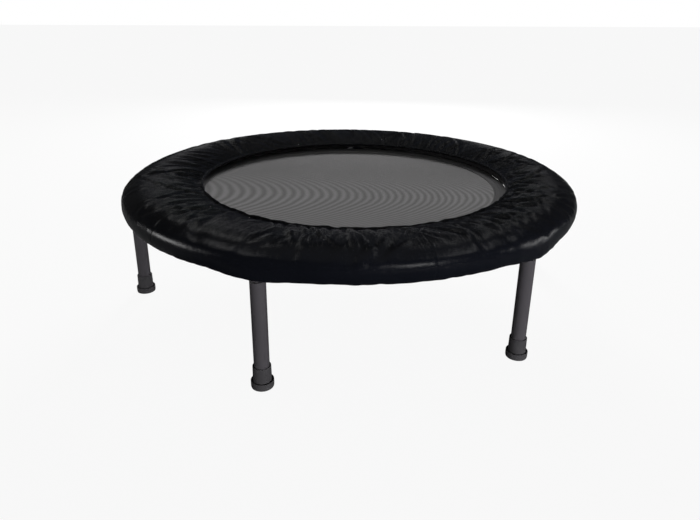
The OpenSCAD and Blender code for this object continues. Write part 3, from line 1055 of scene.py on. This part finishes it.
# The vinyl as cut, wider than the ring at its inner hem, is drawn in by its held hems
# and settles over the foam.
wide = r * cut_share
drop = np.sqrt(np.maximum(np.diff(s) ** 2 - np.diff(wide) ** 2, (0.3 * np.diff(s)) ** 2))
drop = np.concatenate([[0.0], np.cumsum(drop)])
vinyl_cover.shape_key_add(name="Basis")
cut = vinyl_cover.shape_key_add(name="cut")
cut.value = 0.0
cut.data.foreach_set("co", spread_out(turn, wide[row], -drop[row]).ravel())
held = vinyl_cover.vertex_groups.new(name="hems")
held.add([int(i) for i in np.nonzero((row == 0) | (row == cover_rows))[0]], 1.0, "REPLACE")
foam_ring.modifiers.new("solid", "COLLISION")
foam_ring.collision.thickness_outer = 0.001
foam_ring.collision.cloth_friction = 4.0
sewn = vinyl_cover.modifiers.new("cloth", "CLOTH")
cloth = sewn.settings
cloth.quality = 5
cloth.mass = 0.3
cloth.tension_stiffness = cloth.compression_stiffness = 30.0
cloth.shear_stiffness = 5.0
cloth.bending_stiffness = 1.0
cloth.tension_damping = cloth.compression_damping = cloth.shear_damping = 5.0
cloth.bending_damping = 0.5
cloth.air_damping = 2.0
cloth.vertex_group_mass = "hems"
cloth.rest_shape_key = cut
cloth.effector_weights.gravity = 0.3
sewn.collision_settings.use_collision = True
sewn.collision_settings.distance_min = 0.001
sewn.point_cache.frame_start, sewn.point_cache.frame_end = 1, settle_frames
for moment in range(1, settle_frames + 1):
    bpy.context.scene.frame_set(moment)
shaped = bpy.data.meshes.new_from_object(
    vinyl_cover.evaluated_get(bpy.context.evaluated_depsgraph_get())
)
vinyl_cover.modifiers.clear()
vinyl_cover.shape_key_clear()
vinyl_cover.data = shaped
foam_ring.modifiers.clear()
bpy.context.scene.frame_set(1)

# Away from the hem, the pleats as drawn count for drawn_share and the settled cloth for
# the rest. Folds stay shallow at the hem and over the roll, and off the foam everywhere.
points = np.empty(count * 3)
vinyl_cover.data.vertices.foreach_get("co", points)
points = points.reshape(-1, 3)
calm = spread_out(turn, *smooth_line(turn, row))
out_way = spread_out(turn, r_out[row], z_out[row])
keep = drawn_share * np.clip((s[row] - 0.004) / 0.020, 0, 1)[:, None]
moved = (points - calm) * (1 - keep) + (first_pleats(turn, row) - calm) * keep
rise = np.sum(moved * out_way, axis=1)
limit = np.where(rise > 0, room_above[row], room_below[row])
points = calm + moved + out_way * (limit * np.tanh(rise / limit) - rise)[:, None]
vinyl_cover.data.vertices.foreach_set("co", points.ravel())
hem_run = vinyl_cover.data.attributes.new("from_hem", "FLOAT", "POINT")
hem_run.data.foreach_set("value", s[row].astype(np.float32))
vinyl_cover.data.update()

thick = vinyl_cover.modifiers.new("thick", "SOLIDIFY")
thick.thickness, thick.offset = cover_thick, -1.0
picked(vinyl_cover)
bpy.ops.object.modifier_apply(modifier="thick")
smoothed(vinyl_cover, 80.0)

vinyl, tree, shader = new_finish("black_vinyl")
look = use_effect(tree, grain, place_on(tree), 1500.0, 14.0)
from_hem = step(tree, "ShaderNodeAttribute", attribute_name="from_hem", out=2)
x, y, _ = split(tree, place_on(tree))
reach_now = use_effect(tree, polar, place_on(tree), roll_reach)["Out"]
# Creases drawn out along the pull of the elastic: in three sizes, weaker on the roll
on_circle = [
    math_step(tree, "MULTIPLY", math_step(tree, "DIVIDE", part, reach_now), roll_reach)
    for part in (x, y)
]
pulled = math_step(tree, "MULTIPLY", from_hem, 0.16)
pulled = step(tree, "ShaderNodeCombineXYZ", *on_circle, pulled)
creases = []
for scale, share in ((48.0, 1.0), (125.0, 0.7), (380.0, 0.2)):
    cloud = noise(tree, pulled, scale, 3.0, 0.55)
    line = math_step(tree, "ABSOLUTE", summed(tree, (cloud, 2.0), -1.0))
    creases.append((math_step(tree, "SQRT", line), share))
near_hem = spread(tree, from_hem, 0.030, 0.135, 1.0, 0.12)
folds = relief(tree, math_step(tree, "MULTIPLY", summed(tree, *creases), near_hem), 0.0019)
# A shallow groove at the seam between each two panels
bearing = math_step(tree, "SUBTRACT", math_step(tree, "ARCTAN2", y, x), first_seam)
aside = math_step(tree, "SINE", math_step(tree, "MULTIPLY", bearing, panels / 2))
aside = math_step(tree, "ABSOLUTE", aside)
aside = math_step(tree, "MULTIPLY", aside, math_step(tree, "DIVIDE", reach_now, panels / 2))
folds = relief(tree, spread(tree, aside, 0.0003, 0.0026), 0.0007, folds)
shader.inputs["Specular IOR Level"].default_value = 0.36
dress(
    tree, shader,
    colour=shade(tree, look["Drift"], (0.0030, 0.0036, 0.0058), (0.0052, 0.0060, 0.0090)),
    roughness=spread(tree, look["Drift"], 0.3, 0.7, 0.19, 0.27),
    normal=relief(tree, look["Grain"], 0.00006, folds),
)
put_on(vinyl_cover, vinyl)
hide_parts("cover")
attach(vinyl_cover, "frame")

# ---------------------------------------------------------------- Hems of the cover
# Each edge is turned in over elastic cord and sewn, so the roll puckers into fine
# bulges between the stitches.


def gathered_roll(name, line, thickness, pucker, count, segments):
    """A torus drawn onto the hem's line, with count bulges round it."""
    start_r = 0.4
    clear_selection()
    bpy.ops.mesh.primitive_torus_add(
        major_radius=start_r, minor_radius=thickness, major_segments=segments, minor_segments=9,
    )
    piece = bpy.context.object
    piece.name = name
    points = np.empty(len(piece.data.vertices) * 3)
    piece.data.vertices.foreach_get("co", points)
    points = points.reshape(-1, 3)
    turn = np.arctan2(points[:, 1], points[:, 0])
    out_by, up_by = np.hypot(points[:, 0], points[:, 1]) - start_r, points[:, 2]
    phase = count * turn + 0.9 * uneven(turn, (9, 31), 12)
    swell = 1 + pucker * (np.abs(np.sin(phase / 2)) - 0.6) + 0.12 * uneven(turn, (70, 200), 13)
    radius, height = line(turn)
    points = spread_out(turn, radius + out_by * swell, height + up_by * swell * 1.15)
    piece.data.vertices.foreach_set("co", points.ravel())
    piece.data.update()
    return smoothed(piece, 60.0)


def tucked_in(turn):
    """The skirt's cord lies just inside the edge of the vinyl."""
    radius, height = skirt_line(turn)
    return radius - 0.0022, height + 0.0020


inner_hem = gathered_roll("inner_hem", hem_line, 0.0024, 0.55, 290, 2030)
put_on(inner_hem, vinyl)
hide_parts("hem_elastic")
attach(inner_hem, "frame")
skirt_hem = gathered_roll("skirt_hem", tucked_in, 0.0022, 0.45, 380, 2280)
put_on(skirt_hem, vinyl)
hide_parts("skirt_elastic")
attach(skirt_hem, "frame")
